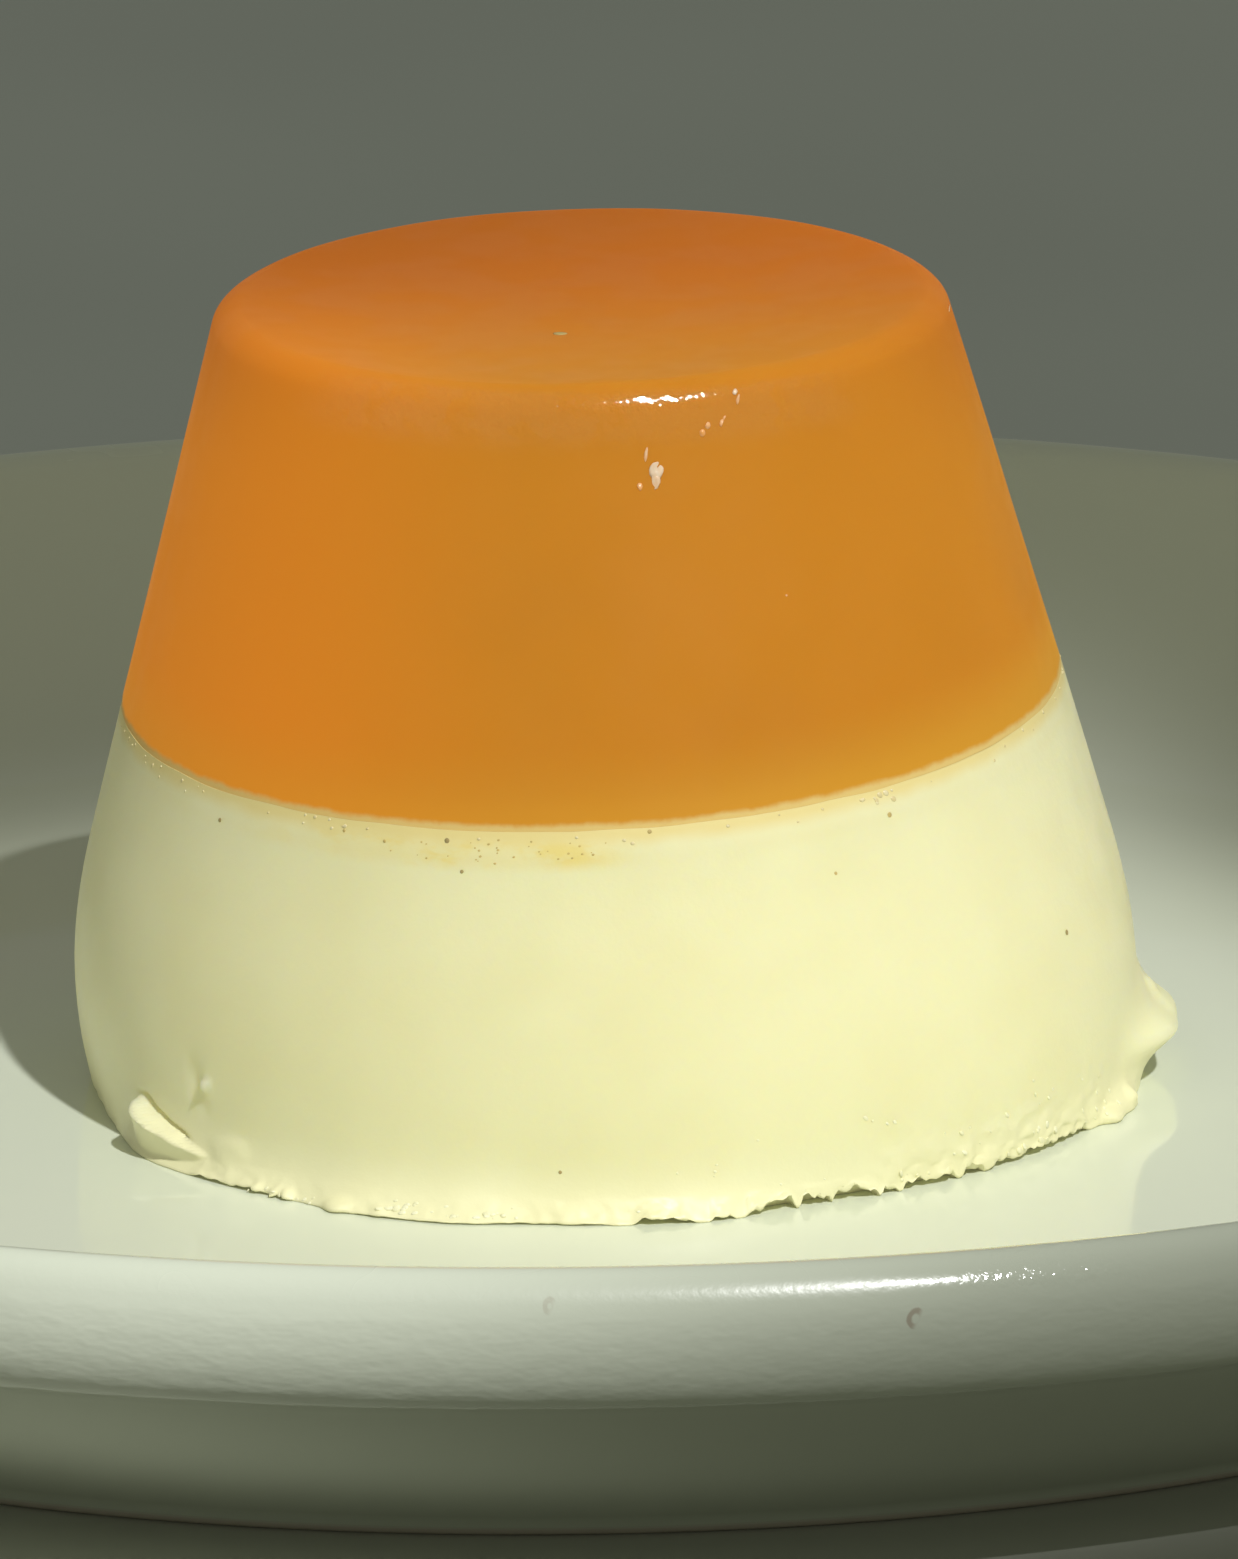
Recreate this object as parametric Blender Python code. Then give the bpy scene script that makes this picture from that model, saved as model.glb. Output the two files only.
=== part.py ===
# Panna cotta: a layer of set cream under a layer of orange jelly, turned out on a round plate.
# Metres, +Z up. The origin is the middle of the plate's foot, on the surface it stands on.
# -Y is the front, where the torn flap of cream lies to the left of the middle.

import math

import bmesh
import bpy
from mathutils import Matrix, Vector

GAP = 0.0003  # air between two pieces that touch

# Plate, a coupe with a thick rounded lip, turned about the origin
PLATE_STEPS = 96
PLATE_HEIGHT = 0.0224
PLATE_FLOOR_TOP = 0.0050
PLATE_FLOOR_RADIUS = 0.0740
PLATE_CREST_RADIUS = 0.1032  # highest ring of the lip
PLATE_CREST_WIDTH = 0.0016  # the lip rounds inwards over this width
PLATE_WIDEST_RADIUS = 0.1060
PLATE_WIDEST_HEIGHT = 0.0176
PLATE_UNDERLIP_RADIUS = 0.1037  # where the lip's outer side ends and the underside starts
PLATE_UNDERLIP_HEIGHT = 0.0138
PLATE_COVE_POWER = 2.2  # how the wall rises out of the floor
FOOT_RADIUS = 0.0851
FOOT_WIDTH = 0.0055
FOOT_ROUNDING = 0.0006
FOOT_RECESS = 0.0015

# Pudding, turned about its own axis and then settled on the plate
PUDDING_X = 0.0035  # its middle is a little right of the plate's middle
PUDDING_STEPS = 96
CREAM_STEPS = 160
SEAM_HEIGHT = 0.0259  # over the plate's floor, at the axis
PUDDING_HEIGHT = 0.0514
CONE_RADIUS = 0.03025  # of the straight side at CONE_HEIGHT
CONE_HEIGHT = 0.0260
DRAFT = 0.272  # radius lost for each unit of height
BELLY_HEIGHT = 0.0170  # below it the side rounds in towards the base
BELLY_DEPTH = 0.0039
BELLY_POWER = 2.4
SHOULDER_RADIUS = 0.0024
DISH_DEPTH = 0.0009  # how far the top has sunk in the middle
BASE_ROUNDING = 0.0005

# How the pudding leans and how its seam and its top slope
LEAN_LEFT = 0.027
LEAN_BACK = 0.020
SEAM_SLOPE = Vector((0.036, 0.055))  # rise to the right and to the back
TOP_SLOPE = Vector((0.020, 0.020))

# The skirt of the base: azimuth of its middle, half width of its full stretch and width of
# each fading end, all in degrees, and how far it stands out
SKIRT_HEIGHT = 0.0022
SKIRT = (
    (-76, 66, 14, 0.0021),
    (-128, 0, 30, 0.0010),
    (14, 6, 16, 0.0010),
)

# Torn gaps under the front edge of the base, in the same order but with a height
GAP_DEPTH = 0.0022
TORN_GAPS = (
    (-83, 0, 2.8, 0.0003),
    (-73, 1, 2.4, 0.0006),
    (-66, 1, 2.4, 0.0006),
    (-56, 2, 2.4, 0.0005),
    (-39, 7, 4.5, 0.0004),
)

# Lumps torn from the mould's edge: azimuth in degrees, radius and height of the middle,
# half length along the edge, half thickness, half height, and how the left end rises in degrees
LUMPS = (
    ("flap", -143.5, 0.0355, 0.0022, 0.0034, 0.0014, 0.0016, 14),
    ("lip", 8, 0.0356, 0.0018, 0.0042, 0.0016, 0.00145, -2),
    ("nub", 15, 0.0358, 0.0026, 0.0014, 0.0010, 0.0010, 0),
    ("frill", -126, 0.0359, 0.0009, 0.0017, 0.0007, 0.00055, 0),
    ("crumb", -118.5, 0.0360, 0.0010, 0.0010, 0.0006, 0.0006, 0),
    ("drip", -139.5, 0.0343, 0.0058, 0.0005, 0.0005, 0.0009, 20),
)


def clear_scene():
    for old in list(bpy.data.objects):
        bpy.data.objects.remove(old, do_unlink=True)


def plain_material(name, colour, roughness, subsurface):
    material = bpy.data.materials.new(name)
    material.use_nodes = True
    shader = material.node_tree.nodes["Principled BSDF"]
    shader.inputs["Base Color"].default_value = (*colour, 1)
    shader.inputs["Roughness"].default_value = roughness
    shader.inputs["Metallic"].default_value = 0
    shader.inputs["Subsurface Weight"].default_value = subsurface
    return material


def glaze_material():
    return plain_material("white_glaze", (0.72, 0.74, 0.62), 0.12, 0)


def cream_material():
    return plain_material("set_cream", (0.83, 0.78, 0.46), 0.42, 0.3)


def jelly_material():
    return plain_material("orange_jelly", (0.68, 0.20, 0.02), 0.2, 0.3)


def arc(middle, radii, start, end, count):
    """Points (r, z) of an elliptic arc between two angles in degrees."""
    points = []
    for i in range(count + 1):
        angle = math.radians(start + (end - start) * i / count)
        points.append((middle[0] + radii[0] * math.cos(angle), middle[1] + radii[1] * math.sin(angle)))
    return points


def turn(name, profile, steps):
    """A closed body turned about Z from a profile that starts and ends on the axis."""
    mesh = bmesh.new()
    verts = [mesh.verts.new((r, 0, z)) for r, z in profile]
    edges = [mesh.edges.new(pair) for pair in zip(verts, verts[1:])]
    bmesh.ops.spin(
        mesh, geom=verts + edges, axis=(0, 0, 1), cent=(0, 0, 0), angle=math.tau, steps=steps, use_merge=True
    )
    bmesh.ops.remove_doubles(mesh, verts=mesh.verts[:], dist=1e-6)
    bmesh.ops.recalc_face_normals(mesh, faces=mesh.faces[:])
    return finish_mesh(name, mesh)


def finish_mesh(name, mesh):
    data = bpy.data.meshes.new(name)
    mesh.to_mesh(data)
    mesh.free()
    made = bpy.data.objects.new(name, data)
    bpy.context.scene.collection.objects.link(made)
    return made


def shade(made, material):
    made.data.materials.append(material)
    made.data.shade_smooth()
    made.data.set_sharp_from_angle(angle=math.radians(40))


def plate_profile():
    """From the middle of the floor out over the lip and back under the foot."""
    wall_reach = PLATE_CREST_RADIUS - PLATE_CREST_WIDTH - PLATE_FLOOR_RADIUS
    wall_rise = PLATE_HEIGHT - PLATE_CREST_WIDTH / 2 - PLATE_FLOOR_TOP
    points = [(0, PLATE_FLOOR_TOP), (PLATE_FLOOR_RADIUS / 2, PLATE_FLOOR_TOP)]
    for i in range(9):
        part = i / 8
        points.append(
            (PLATE_FLOOR_RADIUS + wall_reach * part, PLATE_FLOOR_TOP + wall_rise * part**PLATE_COVE_POWER)
        )
    points += [(PLATE_CREST_RADIUS - PLATE_CREST_WIDTH / 2, PLATE_HEIGHT - PLATE_CREST_WIDTH / 9)]
    lip_radii = (PLATE_WIDEST_RADIUS - PLATE_CREST_RADIUS, PLATE_HEIGHT - PLATE_WIDEST_HEIGHT)
    points += arc((PLATE_CREST_RADIUS, PLATE_WIDEST_HEIGHT), lip_radii, 90, 0, 6)
    under_radii = (PLATE_WIDEST_RADIUS - PLATE_UNDERLIP_RADIUS, PLATE_WIDEST_HEIGHT - PLATE_UNDERLIP_HEIGHT)
    points += arc((PLATE_UNDERLIP_RADIUS, PLATE_WIDEST_HEIGHT), under_radii, 0, -70, 3)[1:]
    points += [(FOOT_RADIUS, FOOT_ROUNDING), (FOOT_RADIUS - FOOT_ROUNDING, 0)]
    inner = FOOT_RADIUS - FOOT_WIDTH
    points += [(inner, 0), (inner - FOOT_RECESS, FOOT_RECESS), (0, FOOT_RECESS)]
    return points


def build_plate():
    plate = turn("plate", plate_profile(), PLATE_STEPS)
    shade(plate, glaze_material())
    return plate


def side_radius(height):
    """Radius of the pudding's side at a height over the plate's floor."""
    radius = CONE_RADIUS - DRAFT * (height - CONE_HEIGHT)
    if height < BELLY_HEIGHT:
        radius -= BELLY_DEPTH * (1 - height / BELLY_HEIGHT) ** BELLY_POWER
    return radius


def swell(angle, stretches):
    """Sum of the stretches (middle, half width, fade, size) at an angle, each with smooth ends."""
    total = 0
    for middle, half_width, fade, size in stretches:
        past = (abs((angle - middle + 180) % 360 - 180) - half_width) / fade
        total += size * (0.5 + 0.5 * math.cos(math.pi * min(max(past, 0), 1)))
    return total


def slope_at(height):
    """Slope of a level that lies between the flat base, the seam and the top."""
    if height < SEAM_HEIGHT:
        return SEAM_SLOPE * (height / SEAM_HEIGHT)
    part = (height - SEAM_HEIGHT) / (PUDDING_HEIGHT - SEAM_HEIGHT)
    return SEAM_SLOPE.lerp(TOP_SLOPE, min(part, 1))


def settle(point):
    """Moves a point of the upright turned pudding to where the set pudding stands."""
    level = point.z
    slope = slope_at(level)
    rise = slope.x * point.x + slope.y * point.y
    radius = math.hypot(point.x, point.y)
    angle = math.degrees(math.atan2(point.y, point.x))
    rim = min(radius / side_radius(level), 1)
    skirt = swell(angle, SKIRT) * math.exp(-level / SKIRT_HEIGHT)
    reach = (side_radius(level + rise) + skirt) / side_radius(level)
    if radius > side_radius(level) - GAP_DEPTH and level < 2 * BASE_ROUNDING:
        rise += swell(angle, TORN_GAPS)
    height = level + rise
    return Vector(
        (
            PUDDING_X - LEAN_LEFT * height + point.x * (1 + (reach - 1) * rim),
            LEAN_BACK * height + point.y * (1 + (reach - 1) * rim),
            PLATE_FLOOR_TOP + height,
        )
    )


def settle_object(made):
    for vert in made.data.vertices:
        vert.co = settle(vert.co)
    made.data.update()


def cream_profile():
    """From the middle of the base out, up the side and back to the axis along the seam."""
    base = GAP
    top = SEAM_HEIGHT - GAP / 2
    foot = side_radius(base)
    points = [(0, base), (foot * 0.6, base), (foot - GAP_DEPTH, base), (foot - BASE_ROUNDING, base)]
    heights = (0.0008, 0.0018, 0.0032, 0.0052, 0.0078, 0.0108, 0.0145, 0.0200)
    points += [(side_radius(height), height) for height in heights]
    points += [(side_radius(top), top), (side_radius(top) * 0.6, top), (0, top)]
    return points


def build_lump(name, azimuth, radius, height, half_length, half_thickness, half_height, lift):
    """A rounded lump of cream that hugs the side, its length along the edge."""
    mesh = bmesh.new()
    bmesh.ops.create_uvsphere(mesh, u_segments=16, v_segments=8, radius=1)
    turned = math.radians(azimuth)
    place = Matrix.Translation(
        (PUDDING_X + radius * math.cos(turned), radius * math.sin(turned), PLATE_FLOOR_TOP + height)
    )
    place @= Matrix.Rotation(turned, 4, "Z") @ Matrix.Rotation(math.radians(lift), 4, "X")
    place @= Matrix.Diagonal((half_thickness, half_length, half_height, 1))
    bmesh.ops.transform(mesh, matrix=place, verts=mesh.verts[:])
    return finish_mesh("lump_" + name, mesh)


def fuse(made, lumps):
    """One union of the body with all its lumps, applied."""
    group = bpy.data.collections.new("lumps")
    bpy.context.scene.collection.children.link(group)
    for lump in lumps:
        bpy.context.scene.collection.objects.unlink(lump)
        group.objects.link(lump)
    union = made.modifiers.new("lumps", "BOOLEAN")
    union.operation = "UNION"
    union.operand_type = "COLLECTION"
    union.collection = group
    bpy.context.view_layer.update()
    evaluated = made.evaluated_get(bpy.context.evaluated_depsgraph_get())
    fused = bpy.data.meshes.new_from_object(evaluated)
    made.modifiers.remove(union)
    made.data = fused
    for lump in lumps:
        bpy.data.objects.remove(lump, do_unlink=True)
    bpy.data.collections.remove(group)


def build_cream():
    cream = turn("cream", cream_profile(), CREAM_STEPS)
    settle_object(cream)
    fuse(cream, [build_lump(*lump) for lump in LUMPS])
    shade(cream, cream_material())
    return cream


def jelly_profile():
    """From the middle of the seam out, up the side, round the shoulder and in over the dished top."""
    base = SEAM_HEIGHT + GAP / 2
    shoulder = PUDDING_HEIGHT - SHOULDER_RADIUS
    slant = math.hypot(1, DRAFT)
    middle = (side_radius(shoulder) - SHOULDER_RADIUS * slant, shoulder)
    lean = math.degrees(math.atan(DRAFT))
    points = [(0, base), (side_radius(base) * 0.6, base)]
    points += [(side_radius(base + (shoulder - base) * i / 4), base + (shoulder - base) * i / 4) for i in range(4)]
    points += arc(middle, (SHOULDER_RADIUS, SHOULDER_RADIUS), lean, 90, 5)
    for part in (0.85, 0.6, 0.3, 0):
        points.append((middle[0] * part, PUDDING_HEIGHT - DISH_DEPTH * (1 - part**2)))
    return points


def build_jelly():
    jelly = turn("jelly", jelly_profile(), PUDDING_STEPS)
    settle_object(jelly)
    shade(jelly, jelly_material())
    return jelly


def main():
    clear_scene()
    build_plate()
    build_cream()
    build_jelly()


main()
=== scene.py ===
import math

import bmesh
import bpy
import numpy as np
from mathutils import Matrix, Vector, noise


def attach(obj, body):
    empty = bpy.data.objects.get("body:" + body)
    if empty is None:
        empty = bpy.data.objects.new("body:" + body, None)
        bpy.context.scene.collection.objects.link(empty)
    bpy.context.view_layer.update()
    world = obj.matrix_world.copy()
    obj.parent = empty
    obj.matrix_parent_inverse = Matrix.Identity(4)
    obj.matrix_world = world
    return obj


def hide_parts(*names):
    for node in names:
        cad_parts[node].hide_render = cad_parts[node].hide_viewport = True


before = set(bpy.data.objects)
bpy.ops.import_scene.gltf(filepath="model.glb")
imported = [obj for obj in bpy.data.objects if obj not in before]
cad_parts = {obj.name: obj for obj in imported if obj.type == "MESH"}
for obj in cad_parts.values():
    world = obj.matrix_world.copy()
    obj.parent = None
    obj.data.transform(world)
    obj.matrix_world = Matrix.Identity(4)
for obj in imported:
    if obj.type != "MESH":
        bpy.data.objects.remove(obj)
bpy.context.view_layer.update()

mm = 0.001
print("frame loaded:", len(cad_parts), "solids")


# One output of a node. Python arithmetic on it adds Math nodes to its tree.
class Wire:
    def __init__(self, board, port):
        self.board = board
        self.port = port

    def __getitem__(self, name):
        return Wire(self.board, self.port.node.outputs[name])

    def maths(self, operation, *values):
        return self.board.add("ShaderNodeMath", {"operation": operation}, dict(enumerate(values)))

    def __add__(self, other):
        return self.maths("ADD", self, other)

    def __sub__(self, other):
        return self.maths("SUBTRACT", self, other)

    def __mul__(self, other):
        return self.maths("MULTIPLY", self, other)

    def __truediv__(self, other):
        return self.maths("DIVIDE", self, other)

    def __mod__(self, other):
        return self.maths("FLOORED_MODULO", self, other)

    # sine, cosine or square root
    def apply(self, operation):
        return self.maths(operation, self)

    def span(self, low, high, start=0.0, end=1.0):
        # eases from start to end while the value goes from low to high
        values = {0: self, 1: low, 2: high, 3: start, 4: end}
        return self.board.add("ShaderNodeMapRange", {"interpolation_type": "SMOOTHSTEP"}, values)


# Adds nodes to a shader tree or a geometry tree.
class Board:
    def __init__(self, tree):
        self.tree = tree
        tree.nodes.clear()

    def add(self, kind, settings=None, sockets=None, out=0):
        node = self.tree.nodes.new(kind)
        for name, value in (settings or {}).items():
            setattr(node, name, value)
        for name, value in (sockets or {}).items():
            if isinstance(value, Wire):
                self.tree.links.new(value.port, node.inputs[name])
            elif node.inputs[name].type == "RGBA":
                node.inputs[name].default_value = (*value, 1)
            else:
                node.inputs[name].default_value = value
        return Wire(self, node.outputs[out]) if node.outputs else None

    def mixColour(self, share, first, second):
        sockets = {0: share, 6: first, 7: second}
        return self.add("ShaderNodeMix", {"data_type": "RGBA", "clamp_factor": True}, sockets, 2)

    # a noise pattern on the piece's own coordinates, its grain size in mm
    def grain(self, size, detail=2.0, roughness=0.5, shift=(0, 0, 0), stretch=(1, 1, 1)):
        place = self.add("ShaderNodeTexCoord")["Object"]
        scale = tuple(1 / (size * mm) * part for part in stretch)
        sockets = {"Vector": place, "Location": shift, "Scale": scale}
        place = self.add("ShaderNodeMapping", {}, sockets)
        sockets = {"Vector": place, "Scale": 1.0, "Detail": detail, "Roughness": roughness}
        return self.add("ShaderNodeTexNoise", {}, sockets)

    # the piece's own coordinates in mm
    def place(self):
        split = self.add("ShaderNodeSeparateXYZ", {}, {0: self.add("ShaderNodeTexCoord")["Object"]})
        return split["X"] * 1000, split["Y"] * 1000, split["Z"] * 1000

    # a relief of that height in mm, over another one where given
    def bump(self, height, distance, before=None):
        sockets = {"Height": height, "Distance": distance * mm}
        if before:
            sockets["Normal"] = before
        return self.add("ShaderNodeBump", {}, sockets)

    def principled(self, sockets):
        return self.add("ShaderNodeBsdfPrincipled", {}, sockets)

    def mixShader(self, share, first, second):
        return self.add("ShaderNodeMixShader", {}, {0: share, 1: first, 2: second})

    def close(self, shader, kind="Material"):
        self.add("ShaderNodeOutput" + kind, {}, {"Surface": shader})


def newMaterial(name):
    material = bpy.data.materials.new(name)
    material.use_nodes = True
    material.cycles.emission_sampling = "NONE"  # a faint glow needs no rays of its own
    return material, Board(material.node_tree)


def scaled(colour, factor):
    return tuple(part * factor for part in colour)


def newTree(name, inputs):
    tree = bpy.data.node_groups.new(name, "GeometryNodeTree")
    for label, kind in inputs.items():
        tree.interface.new_socket(name=label, in_out="INPUT", socket_type="NodeSocket" + kind)
    tree.interface.new_socket(name="Geometry", in_out="OUTPUT", socket_type="NodeSocketGeometry")
    board = Board(tree)
    return tree, board, board.add("NodeGroupInput")


# every tree ends here: plain faces with their finish
def closeTree(board, geometry, material):
    real = board.add("GeometryNodeRealizeInstances", {}, {"Geometry": geometry})
    smooth = board.add("GeometryNodeSetShadeSmooth", {}, {"Geometry": real})
    done = board.add("GeometryNodeSetMaterial", {}, {"Geometry": smooth, "Material": material})
    board.add("NodeGroupOutput", {}, {"Geometry": done})


# runs a geometry tree and keeps the result as a plain mesh
def growPiece(name, tree, values):
    host = bpy.data.objects.new("host", bpy.data.meshes.new("host"))
    bpy.context.scene.collection.objects.link(host)
    modifier = host.modifiers.new("shape", "NODES")
    modifier.node_group = tree
    for item in tree.interface.items_tree:
        if item.in_out == "INPUT":
            modifier[item.identifier] = values[item.name]
    mesh = bpy.data.meshes.new_from_object(host.evaluated_get(bpy.context.evaluated_depsgraph_get()))
    host.modifiers.remove(modifier)
    bpy.data.objects.remove(host)
    mesh.name = name
    piece = bpy.data.objects.new(name, mesh)
    bpy.context.scene.collection.objects.link(piece)
    return piece


# A grid whose columns stand round the axis and whose rows follow the profile's points.
# Crowding brings the columns closer together at the front.
def turnedTree():
    inputs = {"Profile": "Object", "Columns": "Int", "Crowding": "Float", "Material": "Material"}
    tree, board, given = newTree("turnedBody", inputs)
    outline = board.add("GeometryNodeObjectInfo", {}, {"Object": given["Profile"]})["Geometry"]
    rows = board.add("GeometryNodeAttributeDomainSize", {}, {"Geometry": outline})["Point Count"]
    sockets = {"Size X": 1.0, "Size Y": 1.0, "Vertices X": given["Columns"] + 1, "Vertices Y": rows}
    grid = board.add("GeometryNodeMeshGrid", {}, sockets)
    index = board.add("GeometryNodeInputIndex")
    row = index % rows
    turn = (index - row) / rows / given["Columns"] * math.tau
    angle = turn - given["Crowding"] * turn.apply("SINE") - math.pi / 2
    settings = {"data_type": "FLOAT_VECTOR"}
    sockets = {"Geometry": outline, "Value": board.add("GeometryNodeInputPosition"), "Index": row}
    point = board.add("GeometryNodeSampleIndex", settings, sockets)
    point = board.add("ShaderNodeSeparateXYZ", {}, {0: point})
    x = point["X"] * angle.apply("COSINE")
    y = point["X"] * angle.apply("SINE")
    place = board.add("ShaderNodeCombineXYZ", {}, {"X": x, "Y": y, "Z": point["Z"]})
    body = board.add("GeometryNodeSetPosition", {}, {"Geometry": grid["Mesh"], "Position": place})
    body = board.add("GeometryNodeMergeByDistance", {}, {"Geometry": body, "Distance": 0.002 * mm})
    closeTree(board, body, given["Material"])
    return tree


turnedBody = turnedTree()


def turnPiece(name, profile, columns, crowding, material):
    points = [(radius * mm, 0, height * mm) for radius, height in profile]
    mesh = bpy.data.meshes.new("profile")
    mesh.from_pydata(points, [(i, i + 1) for i in range(len(points) - 1)], [])
    outline = bpy.data.objects.new("profile", mesh)
    bpy.context.scene.collection.objects.link(outline)
    values = {"Profile": outline, "Columns": columns, "Crowding": crowding, "Material": material}
    piece = growPiece(name, turnedBody, values)
    bpy.data.objects.remove(outline)
    return piece


def getPoints(piece):
    points = np.empty(len(piece.data.vertices) * 3)
    piece.data.vertices.foreach_get("co", points)
    return points.reshape(-1, 3) / mm


def setPoints(piece, points):
    piece.data.vertices.foreach_set("co", (points * mm).ravel())
    mesh = bmesh.new()
    mesh.from_mesh(piece.data)
    bmesh.ops.recalc_face_normals(mesh, faces=mesh.faces[:])
    mesh.to_mesh(piece.data)
    mesh.free()
    piece.data.set_sharp_from_angle(angle=math.radians(62))
    piece.data.update()


# smooth noise from -1 to 1 at each point, its grain size in mm
def noiseAt(points, size, seed=0):
    shift = Vector((seed * 17.3, seed * 5.1, seed * 9.7))
    return np.array([noise.noise(Vector(point) / size + shift) for point in points])


def arc(middle, radii, start, end, count):
    turns = np.radians(np.linspace(start, end, count))
    return [(middle[0] + radii[0] * math.cos(t), middle[1] + radii[1] * math.sin(t)) for t in turns]


# eases from 0 to 1 while value goes from low to high
def ease(value, low, high):
    part = np.clip((value - low) / (high - low), 0, 1)
    return part * part * (3 - 2 * part)


# Glazed plate
plateSizes = {
    "height": 22.4,
    "floorTop": 5.0,
    "floorRadius": 74.0,
    "crestRadius": 103.2,
    "crestWidth": 1.6,
    "widestRadius": 106.0,
    "widestHeight": 17.6,
    "underlipRadius": 103.7,
    "underlipHeight": 13.8,
    "covePower": 2.2,
    "footRadius": 85.1,
    "footWidth": 5.5,
    "footRounding": 0.6,
    "footRecess": 1.5,
    "columns": 420,
    "crowding": 0.2,
    "glaze": (0.71, 0.755, 0.615),
    "bareClay": (0.55, 0.5, 0.4),
    "roughness": 0.07,
    "orangePeel": 0.012,  # height of the glaze's slow ripples
    "lipDimples": 0.03,  # height of the fine pits that break up the crest's glints
    "sparkle": (23, 27, 32, 37),  # where along x the glints start, are full, fade and end
    "dullCrest": (31, 16),  # the crest's glints go dull between these places along x
    "lipStreaks": 0.07,
    "wander": 0.12,  # how far the lip wanders, because the plate was turned by hand
    "speckSpacing": 9,
    "speckColour": (0.4, 0.3, 0.2),
    # ring marks on the front of the lip: x and z of the middle, radius, strength
    "marks": (((21.5, 19.2), 0.38, 0.5), ((-0.1, 20.6), 0.3, 0.2)),
    "markColour": (0.3, 0.17, 0.1),
}


def plateProfile(s):
    wallReach = s["crestRadius"] - s["crestWidth"] - s["floorRadius"]
    wallRise = s["height"] - s["crestWidth"] / 2 - s["floorTop"]
    profile = [(radius, s["floorTop"]) for radius in np.linspace(0, s["floorRadius"], 26)[:-1]]
    for part in np.linspace(0, 1, 34):
        height = s["floorTop"] + wallRise * part ** s["covePower"]
        profile.append((s["floorRadius"] + wallReach * part, height))
    profile.append((s["crestRadius"] - s["crestWidth"] / 2, s["height"] - s["crestWidth"] / 9))
    lip = (s["widestRadius"] - s["crestRadius"], s["height"] - s["widestHeight"])
    profile += arc((s["crestRadius"], s["widestHeight"]), lip, 90, 0, 20)
    under = (s["widestRadius"] - s["underlipRadius"], s["widestHeight"] - s["underlipHeight"])
    profile += arc((s["underlipRadius"], s["widestHeight"]), under, 0, -70, 10)[1:]
    radius, height = profile[-1]
    rounding = s["footRounding"]
    for part in np.linspace(0, 1, 12)[1:]:
        outwards, up = (s["footRadius"] - radius) * part, (rounding - height) * part
        profile.append((radius + outwards, height + up))
    inner = s["footRadius"] - s["footWidth"]
    profile += arc((s["footRadius"] - rounding, rounding), (rounding, rounding), 0, -90, 5)[1:]
    profile += [(inner + 2, 0), (inner, 0), (inner - s["footRecess"], s["footRecess"])]
    profile += [(radius, s["footRecess"]) for radius in np.linspace(inner - s["footRecess"], 0, 10)[1:]]
    return profile


def glazeMaterial(s):
    material, board = newMaterial("plateGlaze")
    x, y, z = board.place()
    radius = (x * x + y * y).apply("SQRT")
    tone = board.grain(38, 0).span(0.3, 0.7)
    colour = board.mixColour(tone, s["glaze"], scaled(s["glaze"], 1.03))
    # iron specks under the glaze
    dots = board.add("ShaderNodeTexCoord")["Object"]
    sockets = {"Vector": dots, "Scale": 1 / (s["speckSpacing"] * mm), "Randomness": 1.0}
    dots = board.add("ShaderNodeTexVoronoi", {}, sockets)
    specks = dots.span(0.012, 0.03, 1, 0) * board.grain(14, 1, shift=(3, 1, 4)).span(0.56, 0.6)
    colour = board.mixColour(specks * 0.6, colour, s["speckColour"])
    # small ring marks on the lip, open on the right
    uneven = board.grain(0.9, 2) * 0.3 - 0.15
    for middle, reach, strength in s["marks"]:
        across, up = x - middle[0], z - middle[1]
        away = (across * across + up * up * 0.7).apply("SQRT") + uneven
        ring = away.span(reach - 0.22, reach - 0.08) * away.span(reach + 0.08, reach + 0.2, 1, 0)
        ring = ring * (across - up * 0.5).span(-0.1, 0.35, 1, 0) * y.span(-99, -101)
        colour = board.mixColour(ring * strength, colour, s["markColour"])
    # the foot ring is wiped clean of glaze
    foot = z.span(0.35, 0.7, 1, 0) * radius.span(s["footRadius"] - 12, s["footRadius"] - 7)
    colour = board.mixColour(foot, colour, s["bareClay"])
    rough = board.grain(6, 1).span(0.3, 0.8, s["roughness"] * 0.8, s["roughness"] * 1.4) + foot * 0.5
    ripple = board.bump(board.grain(7, 1, 0.55), s["orangePeel"])
    crest = radius.span(100.6, 102.0) * z.span(19.5, 21)
    start, full, fading, end = s["sparkle"]
    sparkle = crest * x.span(start, full) * x.span(end, fading)
    rough = rough + crest * x.span(*s["dullCrest"]) * 0.2
    dimples = board.grain(0.65, 2, 0.6) * (crest * 0.6 + sparkle * 1.8)
    dimples = board.bump(dimples, s["lipDimples"], before=ripple)
    outer = radius.span(103.6, 105) * z.span(20.6, 19.6)
    streaks = board.grain(2.6, 2, 0.65, stretch=(1, 1, 2.2))
    streaks = board.bump(streaks * outer, s["lipStreaks"], before=dimples)
    sockets = {"Base Color": colour, "Roughness": rough, "Normal": streaks, "IOR": 1.5}
    board.close(board.principled(sockets))
    return material


def makePlate(s):
    plate = turnPiece("plateBody", plateProfile(s), s["columns"], s["crowding"], glazeMaterial(s))
    points = getPoints(plate)
    # the lip dips a little here and there
    wander = noiseAt(points, 60, 3) * 0.5 + 0.5
    outer = ease(np.hypot(points[:, 0], points[:, 1]), s["floorRadius"], s["crestRadius"])
    points[:, 2] -= s["wander"] * wander * outer * ease(points[:, 2], 8, 20)
    setPoints(plate, points)
    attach(plate, "root")
    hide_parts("plate")
    print("plate turned:", len(plate.data.polygons), "faces")


makePlate(plateSizes)

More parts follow.
